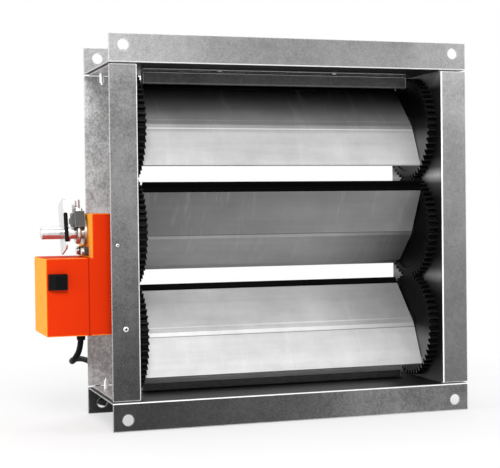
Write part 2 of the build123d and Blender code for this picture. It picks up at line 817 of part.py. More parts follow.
with BuildPart() as nuts:
    nut_plane = Plane(origin=clamp_plane(leg_x).origin, x_dir=clamp_plane(leg_x).x_dir,
                      z_dir=clamp_plane(leg_x).y_dir).offset(clamp_top)
    with BuildSketch(nut_plane):
        with Locations((leg_y, 0), (-leg_y, 0)):
            RegularPolygon(radius=nut_radius, side_count=6)
            Circle(bolt_wire_radius + press_clearance, mode=Mode.SUBTRACT)
    extrude(amount=nut_height)
save(nuts, "clamp_nuts")

# The plate's rounded lower corners turn just above the cover's top.
corner_out = indicator_width / 2 - indicator_corner
corner_swing = -cover_top - indicator_clearance - indicator_corner
corner_down = sqrt(corner_swing ** 2 - corner_out ** 2)
indicator_middle = indicator_height / 2 - indicator_corner - corner_down
with BuildPart() as indicator:
    with BuildSketch(clamp_plane(indicator_x)):
        with Locations((0, indicator_middle)):
            RectangleRounded(indicator_width, indicator_height, indicator_corner)
        Circle(shaft_radius + press_clearance, mode=Mode.SUBTRACT)
    extrude(amount=indicator_sheet)
    with BuildSketch(clamp_plane(indicator_x + indicator_sheet)):
        Circle(shaft_radius + indicator_boss_wall)
        Circle(shaft_radius + press_clearance, mode=Mode.SUBTRACT)
    extrude(amount=indicator_boss_length)
save(indicator, "indicator_plate")

with BuildPart() as end_stops:
    for y in (axis_y - end_stop_at, axis_y + end_stop_at):
        with BuildSketch(Plane.YZ.offset(tall_face)):
            with Locations((y, end_stop_z)):
                RectangleRounded(end_stop_width, end_stop_height, end_stop_corner)
                Circle(end_screw_radius + press_clearance, mode=Mode.SUBTRACT)
        extrude(amount=-end_stop_thickness)
save(end_stops, "end_stops")

with BuildPart() as end_stop_screws:
    for y in (axis_y - end_stop_at, axis_y + end_stop_at):
        with BuildSketch(Plane.YZ.offset(tall_face)):
            with Locations((y, end_stop_z)):
                Circle(end_screw_radius)
        extrude(amount=-end_stop_thickness)
        with BuildSketch(Plane.YZ.offset(tall_face - end_stop_thickness)):
            with Locations((y, end_stop_z)):
                Circle(end_screw_head_radius)
        extrude(amount=-end_screw_head)
save(end_stop_screws, "end_stop_screws")

# ---------------- mounting bracket ----------------
with BuildPart() as bracket:
    with BuildSketch(Plane.XZ.offset(-(axis_y - bracket_wide / 2))):
        with BuildLine():
            FilletPolyline(
                (web_out, bracket_top + bracket_foot), (web_out, bracket_top),
                (base_back + bracket_sheet, bracket_top),
                (base_back + bracket_sheet, bracket_bottom),
                (web_out, bracket_bottom), (web_out, bracket_bottom - bracket_foot),
                radius=bracket_bend_radius)
            offset(amount=bracket_sheet, side=Side.RIGHT)
        make_face()
    extrude(amount=-bracket_wide)
    with BuildSketch(Plane.YZ.offset(base_back - 2 * bracket_sheet)):
        with Locations((axis_y, 0)):
            Circle(bush_flange_radius + bracket_hole_gap)
    extrude(amount=4 * bracket_sheet, mode=Mode.SUBTRACT)
save(bracket, "mounting_bracket")

with BuildPart() as bracket_screws:
    screw_rise = bracket_foot * bracket_screw_share
    for z in (bracket_top + screw_rise, bracket_bottom - screw_rise):
        for y in (axis_y - bracket_screw_at, axis_y + bracket_screw_at):
            with BuildSketch(Plane.YZ.offset(web_out - bracket_sheet)):
                with Locations((y, z)):
                    RegularPolygon(radius=bracket_screw_radius, side_count=6)
            extrude(amount=-bracket_screw_height)
save(bracket_screws, "bracket_screws")

with BuildPart() as cover_screws:
    for y, z in (
            (front_y + screw_inset, cover_top - screw_inset),
            (front_y + screw_middle_y, cover_top - screw_middle_drop),
            (front_y + screw_inset, actuator_bottom + screw_inset),
            (front_y + actuator_width - screw_inset, cover_top - screw_inset)):
        with BuildSketch(Plane.YZ.offset(cover_front)):
            with Locations((y, z)):
                Circle(screw_head_radius)
        extrude(amount=-screw_head_height)
save(cover_screws, "cover_screws")

# ---------------- supply cord ----------------
# 0.9 m of round cord: down from the gland, back past the frame, then down to
# the floor behind it and into a coil.
coil_centre_x = coil_from_side - half_width
coil_centre_y = frame_depth + coil_from_rear
with BuildPart() as gland:
    with BuildSketch(Plane.XY.offset(cable_exit_z)):
        with Locations((cable_exit_x, cable_exit_y)):
            Circle(gland_radius + gland_collar)
            Circle(cord_radius + gland_bore_play, mode=Mode.SUBTRACT)
    extrude(amount=-gland_collar_height)
    with BuildSketch(Plane.XY.offset(actuator_bottom + cover_wall)):
        with Locations((cable_exit_x, cable_exit_y)):
            Circle(gland_radius)
            Circle(cord_radius + gland_bore_play, mode=Mode.SUBTRACT)
    extrude(amount=-cover_wall - gland_drop, taper=gland_taper)
save(gland, "cord_gland")

# The route runs down out of the gland and back along the actuator's side, then
# round the rear flange and down to the coil.
landing = (coil_centre_x - coil_turn_radius, coil_centre_y + landing_past_middle,
           floor_z + cord_radius + floor_gap)
exit_point = (cable_exit_x, cable_exit_y, cable_exit_z)
cord_points = [tuple(a + b for a, b in zip(exit_point, step)) for step in from_exit]
cord_points += [tuple(a + b for a, b in zip(landing, step)) for step in from_landing]
corner_radii = []
for before, point, after in zip(cord_points, cord_points[1:], cord_points[2:]):
    run_in = Vector(*point) - Vector(*before)
    run_out = Vector(*after) - Vector(*point)
    half_turn = radians(run_in.get_angle(run_out)) / 2
    corner_radii.append(bend_share * min(run_in.length, run_out.length) / tan(half_turn))
print("cord radii", [round(radius, 1) for radius in corner_radii])
print("cord runs", [round((Vector(*b) - Vector(*a)).length, 1)
                    for a, b in zip(cord_points, cord_points[1:])])

with BuildPart() as cord:
    with BuildLine() as cord_path:
        FilletPolyline(*cord_points, radius=corner_radii)
    with BuildSketch(Plane(origin=cord_path.line @ 0, z_dir=cord_path.line % 0)):
        Circle(cord_radius)
    sweep()
cord_run = sum(edge.length for edge in cord_path.edges())
print("cord tube", round(cord_run, 1), "volume ratio",
      round(cord.part.volume / (cord_run * pi * cord_radius ** 2), 4))
save(cord, "supply_cord")

# The coil's outer shape: its turns lie two across, and as many high as they need.
coil_turns = (cord_length - cord_run) / (2 * pi * coil_turn_radius)
coil_high = -(-coil_turns // coil_layers)
coil_band = coil_layers * cable_diameter
print("coil turns", round(coil_turns, 2), "layers", coil_high)
with BuildPart() as coil:
    with BuildSketch(Plane(origin=(coil_centre_x, coil_centre_y, floor_z), x_dir=(1, 0, 0),
                           z_dir=(0, -1, 0))):
        with Locations((coil_turn_radius, coil_high * cable_diameter / 2)):
            RectangleRounded(coil_band, coil_high * cable_diameter, cord_radius)
    revolve(axis=Axis((coil_centre_x, coil_centre_y, 0), (0, 0, 1)))
save(coil, "cord_coil")

tail_y = coil_centre_y + coil_turn_radius + cord_radius
tail_z = floor_z + cord_radius
tail_x = coil_centre_x + tail_shift
with BuildPart() as wire_ends:
    with BuildSketch(Plane(origin=(tail_x, tail_y, tail_z), z_dir=(-1, 0, 0))):
        Circle(cord_radius)
    extrude(amount=tail_length)
    for shift in (-1, 0, 1):
        core = (tail_x, tail_y + core_spread * shift, tail_z - core_drop * abs(shift))
        core_plane = Plane(origin=core, z_dir=(1, core_fan * shift, 0))
        with BuildSketch(core_plane):
            Circle(core_radius)
        extrude(amount=core_length)
        with BuildSketch(core_plane.offset(ferrule_start)):
            Circle(core_radius + ferrule_wall)
        extrude(amount=ferrule_length)
save(wire_ends, "wire_ends")
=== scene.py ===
import math

import bmesh
import bpy
import numpy as np
from mathutils import Matrix, Vector


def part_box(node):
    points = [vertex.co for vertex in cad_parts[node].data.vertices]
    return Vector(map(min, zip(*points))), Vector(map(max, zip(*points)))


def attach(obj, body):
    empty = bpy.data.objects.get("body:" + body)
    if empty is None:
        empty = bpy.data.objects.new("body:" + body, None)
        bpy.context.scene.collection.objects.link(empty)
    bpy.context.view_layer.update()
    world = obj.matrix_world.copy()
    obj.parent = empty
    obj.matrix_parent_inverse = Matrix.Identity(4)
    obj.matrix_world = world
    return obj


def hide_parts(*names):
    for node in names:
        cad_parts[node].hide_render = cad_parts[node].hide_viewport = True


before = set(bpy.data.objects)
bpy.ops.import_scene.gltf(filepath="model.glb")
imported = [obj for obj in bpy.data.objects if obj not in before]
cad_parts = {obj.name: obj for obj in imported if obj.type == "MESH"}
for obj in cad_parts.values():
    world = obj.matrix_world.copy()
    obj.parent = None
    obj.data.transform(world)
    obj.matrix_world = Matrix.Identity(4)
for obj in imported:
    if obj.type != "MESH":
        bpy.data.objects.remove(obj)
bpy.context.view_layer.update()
print("frame loaded:", len(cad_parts), "nodes")


def addObject(name, data):
    # an object at the origin that holds this data
    thing = bpy.data.objects.new(name, data)
    bpy.context.scene.collection.objects.link(thing)
    return thing


# camera, a long lens a little left of the middle and level with the blades
cameraSettings = {
    "place": (-0.4274, -1.1549, 0.0232),
    "yaw": 18.218,       # degrees towards +X
    "pitch": -1.14,
    "roll": -0.662,
    "lens": 93.08,
    "sensor": 36,
    "shift": (0.001, -0.0044),
    "clip": (0.05, 50),
}


def makeCamera(s):
    # forward from yaw and pitch, then the right and up axes turned by the roll
    yaw, pitch, roll = (math.radians(s[k]) for k in ("yaw", "pitch", "roll"))
    forward = Vector((math.sin(yaw) * math.cos(pitch), math.cos(yaw) * math.cos(pitch),
                      math.sin(pitch)))
    right = Vector((math.cos(yaw), -math.sin(yaw), 0))
    up = right.cross(forward)
    turnedRight = right * math.cos(roll) + up * math.sin(roll)
    turnedUp = up * math.cos(roll) - right * math.sin(roll)
    data = bpy.data.cameras.new("productCamera")
    data.sensor_width = s["sensor"]
    data.lens = s["lens"]
    data.shift_x, data.shift_y = s["shift"]
    data.clip_start, data.clip_end = s["clip"]
    camera = addObject("productCamera", data)
    turn = Matrix((turnedRight, turnedUp, -forward)).transposed().to_4x4()
    camera.matrix_world = Matrix.Translation(s["place"]) @ turn
    bpy.context.scene.camera = camera


makeCamera(cameraSettings)
print("camera set")


# materials, all on Object coordinates
class Nodes:
    # one material's node tree, and the few nodes that the finishes are made of
    def __init__(self, name):
        self.material = bpy.data.materials.new(name)
        self.material.use_nodes = True
        self.tree = self.material.node_tree
        self.shader = self.tree.nodes["Principled BSDF"]
        self.coords = self.tree.nodes.new("ShaderNodeTexCoord").outputs["Object"]

    def link(self, source, target):
        self.tree.links.new(source, target)

    def add(self, kind, **values):
        node = self.tree.nodes.new(kind)
        for key, value in values.items():
            setattr(node, key, value)
        return node

    def fill(self, socket, value):
        # a number, a colour or another node's output goes into a socket
        if isinstance(value, (int, float)):
            socket.default_value = value
        elif isinstance(value, tuple):
            socket.default_value = (*value, 1)
        else:
            self.link(value, socket)

    def mapping(self, scale=(1, 1, 1), turn=(0, 0, 0)):
        node = self.add("ShaderNodeMapping")
        node.inputs["Scale"].default_value = scale
        node.inputs["Rotation"].default_value = turn
        self.link(self.coords, node.inputs["Vector"])
        return node.outputs["Vector"]

    def noise(self, scale, detail, rough, vector=None):
        node = self.add("ShaderNodeTexNoise")
        node.inputs["Scale"].default_value = scale
        node.inputs["Detail"].default_value = detail
        node.inputs["Roughness"].default_value = rough
        self.link(self.coords if vector is None else vector, node.inputs["Vector"])
        return node.outputs["Fac"]

    def split(self, source):
        # the X, Y and Z of a vector
        node = self.add("ShaderNodeSeparateXYZ")
        self.link(source, node.inputs[0])
        return node.outputs

    def ramp(self, source, stops):
        # stops are (place from 0 to 1, grey or colour)
        node = self.add("ShaderNodeValToRGB")
        band = node.color_ramp
        while len(band.elements) < len(stops):
            band.elements.new(0.5)
        for element, (place, colour) in zip(band.elements, stops):
            element.position = place
            element.color = (*(colour if isinstance(colour, tuple) else grey(colour)), 1)
        self.link(source, node.inputs["Fac"])
        return node.outputs["Color"]

    def spread(self, source, low, high, fromLow=0.0, fromHigh=1.0):
        # a straight change from low to high between two values of the source, level outside them
        node = self.add("ShaderNodeMapRange")
        limits = {"From Min": fromLow, "From Max": fromHigh, "To Min": low, "To Max": high}
        for key, value in limits.items():
            node.inputs[key].default_value = value
        self.link(source, node.inputs["Value"])
        return node.outputs["Result"]

    def along(self, source, stops):
        # a ramp whose stops are (place in metres, tone)
        first, last = stops[0][0], stops[-1][0]
        place = self.spread(source, 0.0, 1.0, first, last)
        return self.ramp(place, [((at - first) / (last - first), tone) for at, tone in stops])

    def maths(self, kind, first, second):
        node = self.add("ShaderNodeMath", operation=kind)
        self.fill(node.inputs[0], first)
        self.fill(node.inputs[1], second)
        return node.outputs[0]

    def weigh(self, sources, shares):
        # the sources times their shares, added up
        total, *others = [self.maths("MULTIPLY", *pair) for pair in zip(sources, shares)]
        for other in others:
            total = self.maths("ADD", total, other)
        return total

    def away(self, source, value):
        # how far the source is from a value, either way
        return self.maths("ABSOLUTE", self.maths("SUBTRACT", source, value), 0)

    def mix(self, factor, first, second, kind="MIX"):
        node = self.add("ShaderNodeMix", data_type="RGBA", blend_type=kind)
        for number, value in ((0, factor), (6, first), (7, second)):
            self.fill(node.inputs[number], value)
        return node.outputs[2]

    def times(self, first, second):
        return self.mix(1.0, first, second, "MULTIPLY")

    def facing(self, direction, low, high, most=1.0):
        # from nothing to the most as the surface turns towards a direction; low and high are
        # the cosines where that starts and ends
        dot = self.add("ShaderNodeVectorMath", operation="DOT_PRODUCT")
        self.link(self.add("ShaderNodeNewGeometry").outputs["True Normal"], dot.inputs[0])
        dot.inputs[1].default_value = direction
        return self.spread(dot.outputs["Value"], 0.0, most, low, high)

    def rub(self, tone, radius, share, colour, leaning=0.72, level=0.99):
        # painted highlight: a share of another colour at the edges, where the rounded normal leans
        # from
        #         # the plain one: all of it at the leaning cosine and none at the level one
        bevel = self.add("ShaderNodeBevel", samples=4)
        bevel.inputs["Radius"].default_value = radius
        dot = self.add("ShaderNodeVectorMath", operation="DOT_PRODUCT")
        self.link(bevel.outputs["Normal"], dot.inputs[0])
        self.link(self.add("ShaderNodeNewGeometry").outputs["Normal"], dot.inputs[1])
        lean = self.spread(dot.outputs["Value"], 1.0, 0.0, leaning, level)
        return self.mix(self.maths("MULTIPLY", lean, share), tone, colour)

    def bump(self, height, strength, distance):
        node = self.add("ShaderNodeBump")
        node.inputs["Strength"].default_value = strength
        node.inputs["Distance"].default_value = distance
        self.link(height, node.inputs["Height"])
        self.link(node.outputs["Normal"], self.shader.inputs["Normal"])

    def set(self, **values):
        for key, value in values.items():
            self.fill(self.shader.inputs[key.replace("_", " ")], value)


def grey(tone):
    return (tone, tone, tone)


# galvanised sheet: each noise is (scale, detail, roughness)
sheetLook = {
    "clouds": (16, 6, 0.65), "grain": (620, 3, 0.7), "specks": (170, 4, 0.75),
    "shares": (0.9, 0.9, 0.6),       # of clouds, grain and specks in the mottle
    "wobble": (1.0, 1.4),            # their sum where the mottle is darkest and lightest
    "behind": (0.008, 0.016),        # Y over which the tone behind the front flange takes over
    # painted shade on the side towards the duct
    "ductTone": grey(0.07), "ductFacing": (0.6, 0.95),     # cosines towards the duct
    # painted highlight on the sheet's edges
    "edge": (0.0016, 0.8, grey(0.92)),               # width, share, tone
    # painted highlight on the front bend
    "bendFacing": (0.84, 0.96, 0.95), "bendTone": grey(0.95),
    "rough": (0.36, 0.58), "metallic": 0.5, "bump": (0.1, 0.0003),
}


def galvanisedSheet(name, s, axis, stops, inward, mottle, brush=(1, 1, 1), behind=(), lit=()):
    # painted light and shade: a tone by place along one axis, or by height behind the front flange,
    # times a
    #     # mottle of clouds, grain and specks; painted shade on the duct side except for bands of
    #     painted light,
    #     # and painted highlights on the edges and bend
    n = Nodes(name)
    place = n.split(n.coords)
    tone = n.along(place[axis], stops)
    clouds, specks = n.noise(*s["clouds"]), n.noise(*s["specks"])
    grain = n.noise(*s["grain"], n.mapping(brush))
    wobble = n.weigh((clouds, grain, specks), s["shares"])
    if behind:
        rear = n.spread(place["Y"], 0.0, 1.0, *s["behind"])
        tone = n.mix(rear, tone, n.along(place["Z"], behind))
    tone = n.times(tone, n.spread(wobble, 1 - mottle, 1 + mottle, *s["wobble"]))
    # painted shade on the duct side, with bands of painted light where lit stops are given
    duct = n.along(place["Z"], lit) if lit else s["ductTone"]
    tone = n.times(tone, n.mix(n.facing(inward, *s["ductFacing"]), grey(1.0), duct))
    tone = n.rub(tone, *s["edge"])
    # painted highlight on the front bend, whose normal lies halfway between the duct side's and the
    # flange's
    bend = (Vector(inward) + Vector((0, -1, 0))) * math.sqrt(0.5)
    tone = n.mix(n.facing(bend, *s["bendFacing"]), tone, s["bendTone"])
    n.set(Base_Color=tone, Roughness=n.spread(clouds, *s["rough"]), Metallic=s["metallic"])
    n.bump(n.maths("ADD", grain, specks), *s["bump"])
    return n.material


# painted light and shade: stops are (metres along the axis, tone); behind and lit are (height,
# tone)
sheetRows = {
    "topSheet": {"axis": "X", "inward": (0, 0, -1), "mottle": 0.24, "brush": (0.7, 1, 1),
                 "stops": [(-0.18, 0.33), (-0.1, 0.24), (0.0, 0.19), (0.1, 0.2), (0.18, 0.28)]},
    "bottomSheet": {"axis": "X", "inward": (0, 0, 1), "mottle": 0.4, "brush": (0.7, 1, 1),
                    "stops": [(-0.18, 0.028), (-0.1, 0.034), (0.0, 0.07), (0.1, 0.17),
                              (0.18, 0.13)]},
    "leftSheet": {"axis": "Z", "inward": (1, 0, 0), "mottle": 0.4, "brush": (1, 1, 0.7),
                  "stops": [(-0.16, 0.04), (-0.1, 0.06), (0.0, 0.125), (0.16, 0.19)],
                  # painted light on the rear flange
                  "behind": [(-0.14, 0.65), (0.05, 0.43), (0.12, 0.54)]},
    "rightSheet": {"axis": "Z", "inward": (-1, 0, 0), "mottle": 0.22, "brush": (1, 1, 0.7),
                   "stops": [(-0.16, 0.13), (-0.05, 0.16), (0.05, 0.21), (0.16, 0.34)],
                   # painted light on the right web between the gears, painted shade beside it
                   "lit": [(-0.155, 0.8), (-0.144, 0.4), (-0.13, 0.04), (-0.066, 0.04),
                           (-0.056, 0.25), (-0.048, 1.6), (-0.04, 0.25), (-0.03, 0.04),
                           (0.03, 0.04), (0.044, 0.3), (0.052, 2.0), (0.06, 0.3), (0.07, 0.04),
                           (0.138, 0.04), (0.15, 0.7)]},
    "stopSheet": {"axis": "X", "inward": (0, 1, 0), "mottle": 0.3, "brush": (0.3, 1, 1),
                  "stops": [(-0.15, 0.07), (0.15, 0.07)]},
    "bracketSheet": {"axis": "X", "inward": (1, 0, 0), "mottle": 0.3,
                     "stops": [(-0.2, 0.3), (-0.1, 0.3)]},
}

# blades of extruded aluminium
bladeLook = {
    "streaks": (90, 4, 0.65), "streakScale": (0.06, 1, 1), "clouds": (18, 6, 0.7),
    "shares": (0.4, 0.6), "wobble": (0.3, 0.7), "mottle": 0.2,
    "marks": (38, 3, 0.75), "markScale": (2.4, 0.3, 0.3), "markTurn": (0.15, 0.25, 0),
    "markStops": [(0.56, 0.0), (0.72, 1.0)], "markShare": 0.07, "markTone": grey(0.92),
    "creaseBlur": 0.0008,
    # painted line on the crease and painted highlight on the edges
    "creaseLine": (0.7, 0.0, 0.0002, 0.0007),      # share on it and beside it, and where in metres
    "edge": (0.0008, 0.35, grey(0.93)),
    "rough": (0.34, 0.52), "metallic": 0.45, "bump": (0.06, 0.0003),
}


def bladeSheet(name, s, stops, crease, creaseTone, above, below):
    # painted light and shade: a tone by height, times a gain along the blade that differs above and
    # below
    #     # the crease, times streaks and clouds; then faint rubbed marks, a painted line on the
    #     crease (highlight
    #     # on the upper blade, shade on the others) and painted highlights on the edges
    n = Nodes(name)
    place = n.split(n.coords)
    over = n.spread(place["Z"], 0.0, 1.0, crease - s["creaseBlur"], crease + s["creaseBlur"])
    gain = n.mix(over, n.along(place["X"], below), n.along(place["X"], above))
    tone = n.times(n.along(place["Z"], stops), gain)
    streaks = n.noise(*s["streaks"], n.mapping(s["streakScale"]))
    clouds = n.noise(*s["clouds"])
    wobble = n.weigh((streaks, clouds), s["shares"])
    tone = n.times(tone, n.spread(wobble, 1 - s["mottle"], 1 + s["mottle"], *s["wobble"]))
    scratches = n.noise(*s["marks"], n.mapping(s["markScale"], s["markTurn"]))
    marks = n.maths("MULTIPLY", n.ramp(scratches, s["markStops"]), s["markShare"])
    tone = n.mix(marks, tone, s["markTone"])
    # painted highlight on the upper blade's crease, painted shade on the other two
    line = n.spread(n.away(place["Z"], crease), *s["creaseLine"])
    tone = n.mix(line, tone, grey(creaseTone))
    tone = n.rub(tone, *s["edge"])
    n.set(Base_Color=tone, Roughness=n.spread(clouds, *s["rough"]), Metallic=s["metallic"])
    n.bump(streaks, *s["bump"])
    return n.material


# painted light and shade: stops are (height, tone); above and below the crease, (x, gain)
bladeRows = {
    "upperSheet": {"stops": [(0.05, 0.53), (0.094, 0.5), (0.1, 0.3), (0.118, 0.17), (0.132, 0.1),
                             (0.14, 0.01)], "crease": 0.0985, "creaseTone": 0.85,
                   "above": [(-0.145, 1.2), (0.145, 0.9)], "below": [(-0.145, 0.9), (0.145, 1.0)]},
    "middleSheet": {"stops": [(-0.05, 0.28), (-0.006, 0.3), (-0.003, 0.26), (0.045, 0.18)],
                    "crease": -0.0045, "creaseTone": 0.06,
                    "above": [(-0.145, 0.55), (0.145, 1.0)],
                    "below": [(-0.145, 1.0), (0.06, 1.0), (0.145, 0.4)]},
    "lowerSheet": {"stops": [(-0.15, 0.6), (-0.106, 0.56), (-0.1, 0.56), (-0.055, 0.48)],
                   "crease": -0.1015, "creaseTone": 0.1,
                   "above": [(-0.145, 1.0), (0.04, 1.05), (0.145, 0.7)],
                   "below": [(-0.145, 0.82), (0.145, 0.88)]},
}

# moulded plastic and rubber
plasticLook = {"clouds": (22, 4, 0.6), "edge": (0.0012, 0.8), "roughSpread": 0.06,
               "fineDetail": (2, 0.5), "fineDepth": 0.0003}


def mouldedPlastic(name, s, colour, rough, edgeLight, grain=900, strength=0.12, cloudy=0.25,
                   specular=0.5, shell=None):
    # a colour that clouds darken and lighten, with a painted highlight at the edges, under a fine
    # moulded grain
    n = Nodes(name)
    darker = tuple(c * (1 - cloudy) for c in colour)
    lighter = tuple(min(1, c * (1 + cloudy)) for c in colour)
    base = n.mix(n.noise(*s["clouds"]), darker, lighter)
    base = n.rub(base, *s["edge"], tuple(c + (1 - c) * edgeLight for c in colour))
    if shell is not None:
        base = housingShade(n, shell, base)
    fine = n.noise(grain, *s["fineDetail"])
    spread = s["roughSpread"]
    n.set(Base_Color=base, Roughness=n.spread(fine, rough - spread, rough + spread),
          Specular_IOR_Level=specular)
    n.bump(fine, strength, s["fineDepth"])
    return n.material


# the actuator's two shells: painted light on the side facing along -X, painted highlights on the
# outer
# # edges, a dark joint between them
pushLow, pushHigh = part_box("push_button")
housingShell = {
    "litSideTone": (0.95, 0.38, 0.04), "litSideFacing": (0.3, 0.9),
    "edgeHighlightTone": (1.0, 0.48, 0.06), "edgeWidth": 0.002,
    "seamTone": (0.3, 0.01, 0.001), "seamAt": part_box("actuator_cover")[1].x,
    "seamLine": (0.9, 0.0, 0.0003, 0.0007),        # share on it and beside it, and where in metres
    "seamQuiet": (0.0018, 0.0026),
    "button": (pushLow + pushHigh) / 2, "buttonQuiet": (0.0135, 0.0155),
}


def housingShade(n, s, base):
    # painted light on the -X side; the painted edge highlight fades out by the joint's plane and
    # round the button
    base = n.mix(n.facing((-1, 0, 0), *s["litSideFacing"]), base, s["litSideTone"])
    fromSeam = n.away(n.split(n.coords)["X"], s["seamAt"])
    fromButton = n.add("ShaderNodeVectorMath", operation="DISTANCE")
    n.link(n.coords, fromButton.inputs[0])
    fromButton.inputs[1].default_value = s["button"]
    quiet = n.maths("MULTIPLY", n.spread(fromSeam, 0.0, 1.0, *s["seamQuiet"]),
                    n.spread(fromButton.outputs["Value"], 0.0, 1.0, *s["buttonQuiet"]))
    base = n.rub(base, s["edgeWidth"], quiet, s["edgeHighlightTone"])
    return n.mix(n.spread(fromSeam, *s["seamLine"]), base, s["seamTone"])


plasticRows = {
    "sealRubber": {"colour": grey(0.0015), "rough": 0.8, "edgeLight": 0.004, "grain": 500,
                   "specular": 0.03},
    "bandRubber": {"colour": grey(0.6), "rough": 0.7, "edgeLight": 0.05, "grain": 500,
                   "specular": 0.1},
    "gearNylon": {"colour": grey(0.003), "rough": 0.5, "edgeLight": 0.06, "grain": 1200,
                  "specular": 0.04},
    "bushPlastic": {"colour": (0.02, 0.02, 0.021), "rough": 0.5, "edgeLight": 0.1},
    "housingOrange": {"colour": (0.66, 0.03, 0.002), "rough": 0.55, "edgeLight": 0.0,
                      "grain": 1500, "strength": 0.06, "cloudy": 0.06, "specular": 0.04,
                      "shell": housingShell},
    "buttonBlack": {"colour": (0.0025, 0.0025, 0.003), "rough": 0.5, "edgeLight": 0.03,
                    "specular": 0.06},
    "boardGreen": {"colour": (0.02, 0.16, 0.05), "rough": 0.35, "edgeLight": 0.1},
    "cordJacket": {"colour": grey(0.003), "rough": 0.5, "edgeLight": 0.01, "grain": 1500,
                   "cloudy": 0.15, "specular": 0.08},
    # black as painted shade in the rivet holes and the screw socket
    "recessBlack": {"colour": grey(0.003), "rough": 0.8, "edgeLight": 0.0, "specular": 0.05},
}

# the right gears: black nylon, with painted light at some heights on the face towards the duct
litGearLook = {
    "colour": grey(0.002), "litFacing": (0.8, 0.98),
    "litPatches": [(-0.152, 0.16), (-0.112, 0.14), (-0.098, 0.004), (-0.05, 0.0015), (0.05, 0.0015),
               (0.058, 0.12), (0.086, 0.12), (0.1, 0.012), (0.112, 0.0015)],
    "edge": (0.0007, 0.1, grey(0.4)), "fine": (1200, 2, 0.5),
    "rough": (0.42, 0.56), "specular": 0.04, "bump": (0.1, 0.0003),
}


def litPatchNylon(name, s):
    # the base colour, or the painted light's tone by height where the surface faces along -X;
    # painted highlights on the edges
    n = Nodes(name)
    litPatches = n.along(n.split(n.coords)["Z"], s["litPatches"])
    base = n.mix(n.facing((-1, 0, 0), *s["litFacing"]), s["colour"], litPatches)
    base = n.rub(base, *s["edge"])
    fine = n.noise(*s["fine"])
    n.set(Base_Color=base, Roughness=n.spread(fine, *s["rough"]), Specular_IOR_Level=s["specular"])
    n.bump(fine, *s["bump"])
    return n.material


# turned and plated metal
metalLook = {
    "rings": (700, 2, 0.5), "ringScale": (1, 0.12, 0.12), "clouds": (70, 4, 0.6),
    "shares": (0.45, 0.55), "wobble": (0.3, 0.7), "edge": (0.0006, 0.5, grey(0.95)),
    "smoother": 0.05, "rougher": 0.1, "bump": (0.1, 0.0002),
}


def turnedMetal(name, s, low, high, rough, tint=(1, 1, 1), metallic=0.9):
    # a tone from low to high by fine turning marks along X and clouds, with a painted highlight at
    # the edges
    n = Nodes(name)
    rings = n.noise(*s["rings"], n.mapping(s["ringScale"]))
    clouds = n.noise(*s["clouds"])
    tones = [tuple(level * t for t in tint) for level in (low, high)]
    base = n.ramp(n.weigh((rings, clouds), s["shares"]), list(zip(s["wobble"], tones)))
    base = n.rub(base, *s["edge"])
    n.set(Base_Color=base, Metallic=metallic,
          Roughness=n.spread(clouds, rough - s["smoother"], rough + s["rougher"]))
    n.bump(rings, *s["bump"])
    return n.material


metalRows = {
    "shaftSteel": {"low": 0.5, "high": 0.85, "rough": 0.24},
    "zincBright": {"low": 0.55, "high": 0.9, "rough": 0.26, "tint": (1, 1, 0.98)},
    "clampSteel": {"low": 0.003, "high": 0.03, "rough": 0.4, "metallic": 0.15},
    "hubSteel": {"low": 0.3, "high": 0.7, "rough": 0.3},
    "rivetAluminium": {"low": 0.6, "high": 0.9, "rough": 0.3},
    "ferruleTin": {"low": 0.5, "high": 0.8, "rough": 0.3},
}

looks = {"gearLitPatches": litPatchNylon("gearLitPatches", litGearLook)}
for make, shared, rows in ((galvanisedSheet, sheetLook, sheetRows),
                           (bladeSheet, bladeLook, bladeRows),
                           (mouldedPlastic, plasticLook, plasticRows),
                           (turnedMetal, metalLook, metalRows)):
    looks.update({name: make(name, shared, **row) for name, row in rows.items()})
print("materials made:", len(looks))

# which finish each node takes: by its own name, or else by how its name ends
nodeLooks = {
    "top_channel": "topSheet", "bottom_channel": "bottomSheet",
    "left_channel": "leftSheet", "right_channel": "rightSheet",
    "upper_blade": "upperSheet", "middle_blade": "middleSheet", "lower_blade": "lowerSheet",
    "lower_stop_seal": "bandRubber",
    "right_upper_gear": "gearLitPatches", "right_middle_gear": "gearLitPatches",
    "right_lower_gear": "gearLitPatches", "motor_pinion": "gearNylon",
    "actuator_base": "housingOrange", "actuator_cover": "housingOrange",
    "mounting_bracket": "bracketSheet", "gear_plate": "bracketSheet",
    "gear_motor": "shaftSteel", "drive_hub": "hubSteel",
    "clamp_jaw": "clampSteel", "end_stops": "clampSteel",
    "u_bolt": "zincBright", "clamp_nuts": "zincBright", "indicator_plate": "zincBright",
    "push_button": "buttonBlack", "circuit_board": "boardGreen",
    "supply_cord": "cordJacket", "cord_coil": "cordJacket", "cord_gland": "cordJacket",
    "wire_ends": "ferruleTin",
}
endLooks = {
    "_seal": "sealRubber", "_bush": "bushPlastic", "_gear": "gearNylon", "_shaft": "shaftSteel",
    "_strip": "stopSheet", "_rivets": "rivetAluminium", "_screws": "zincBright",
}

for nodeName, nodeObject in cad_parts.items():
    lookName = nodeLooks.get(nodeName) or endLooks["_" + nodeName.split("_")[-1]]
    nodeObject.data.materials.clear()
    nodeObject.data.materials.append(looks[lookName])
print("finishes given to the carried-over nodes")


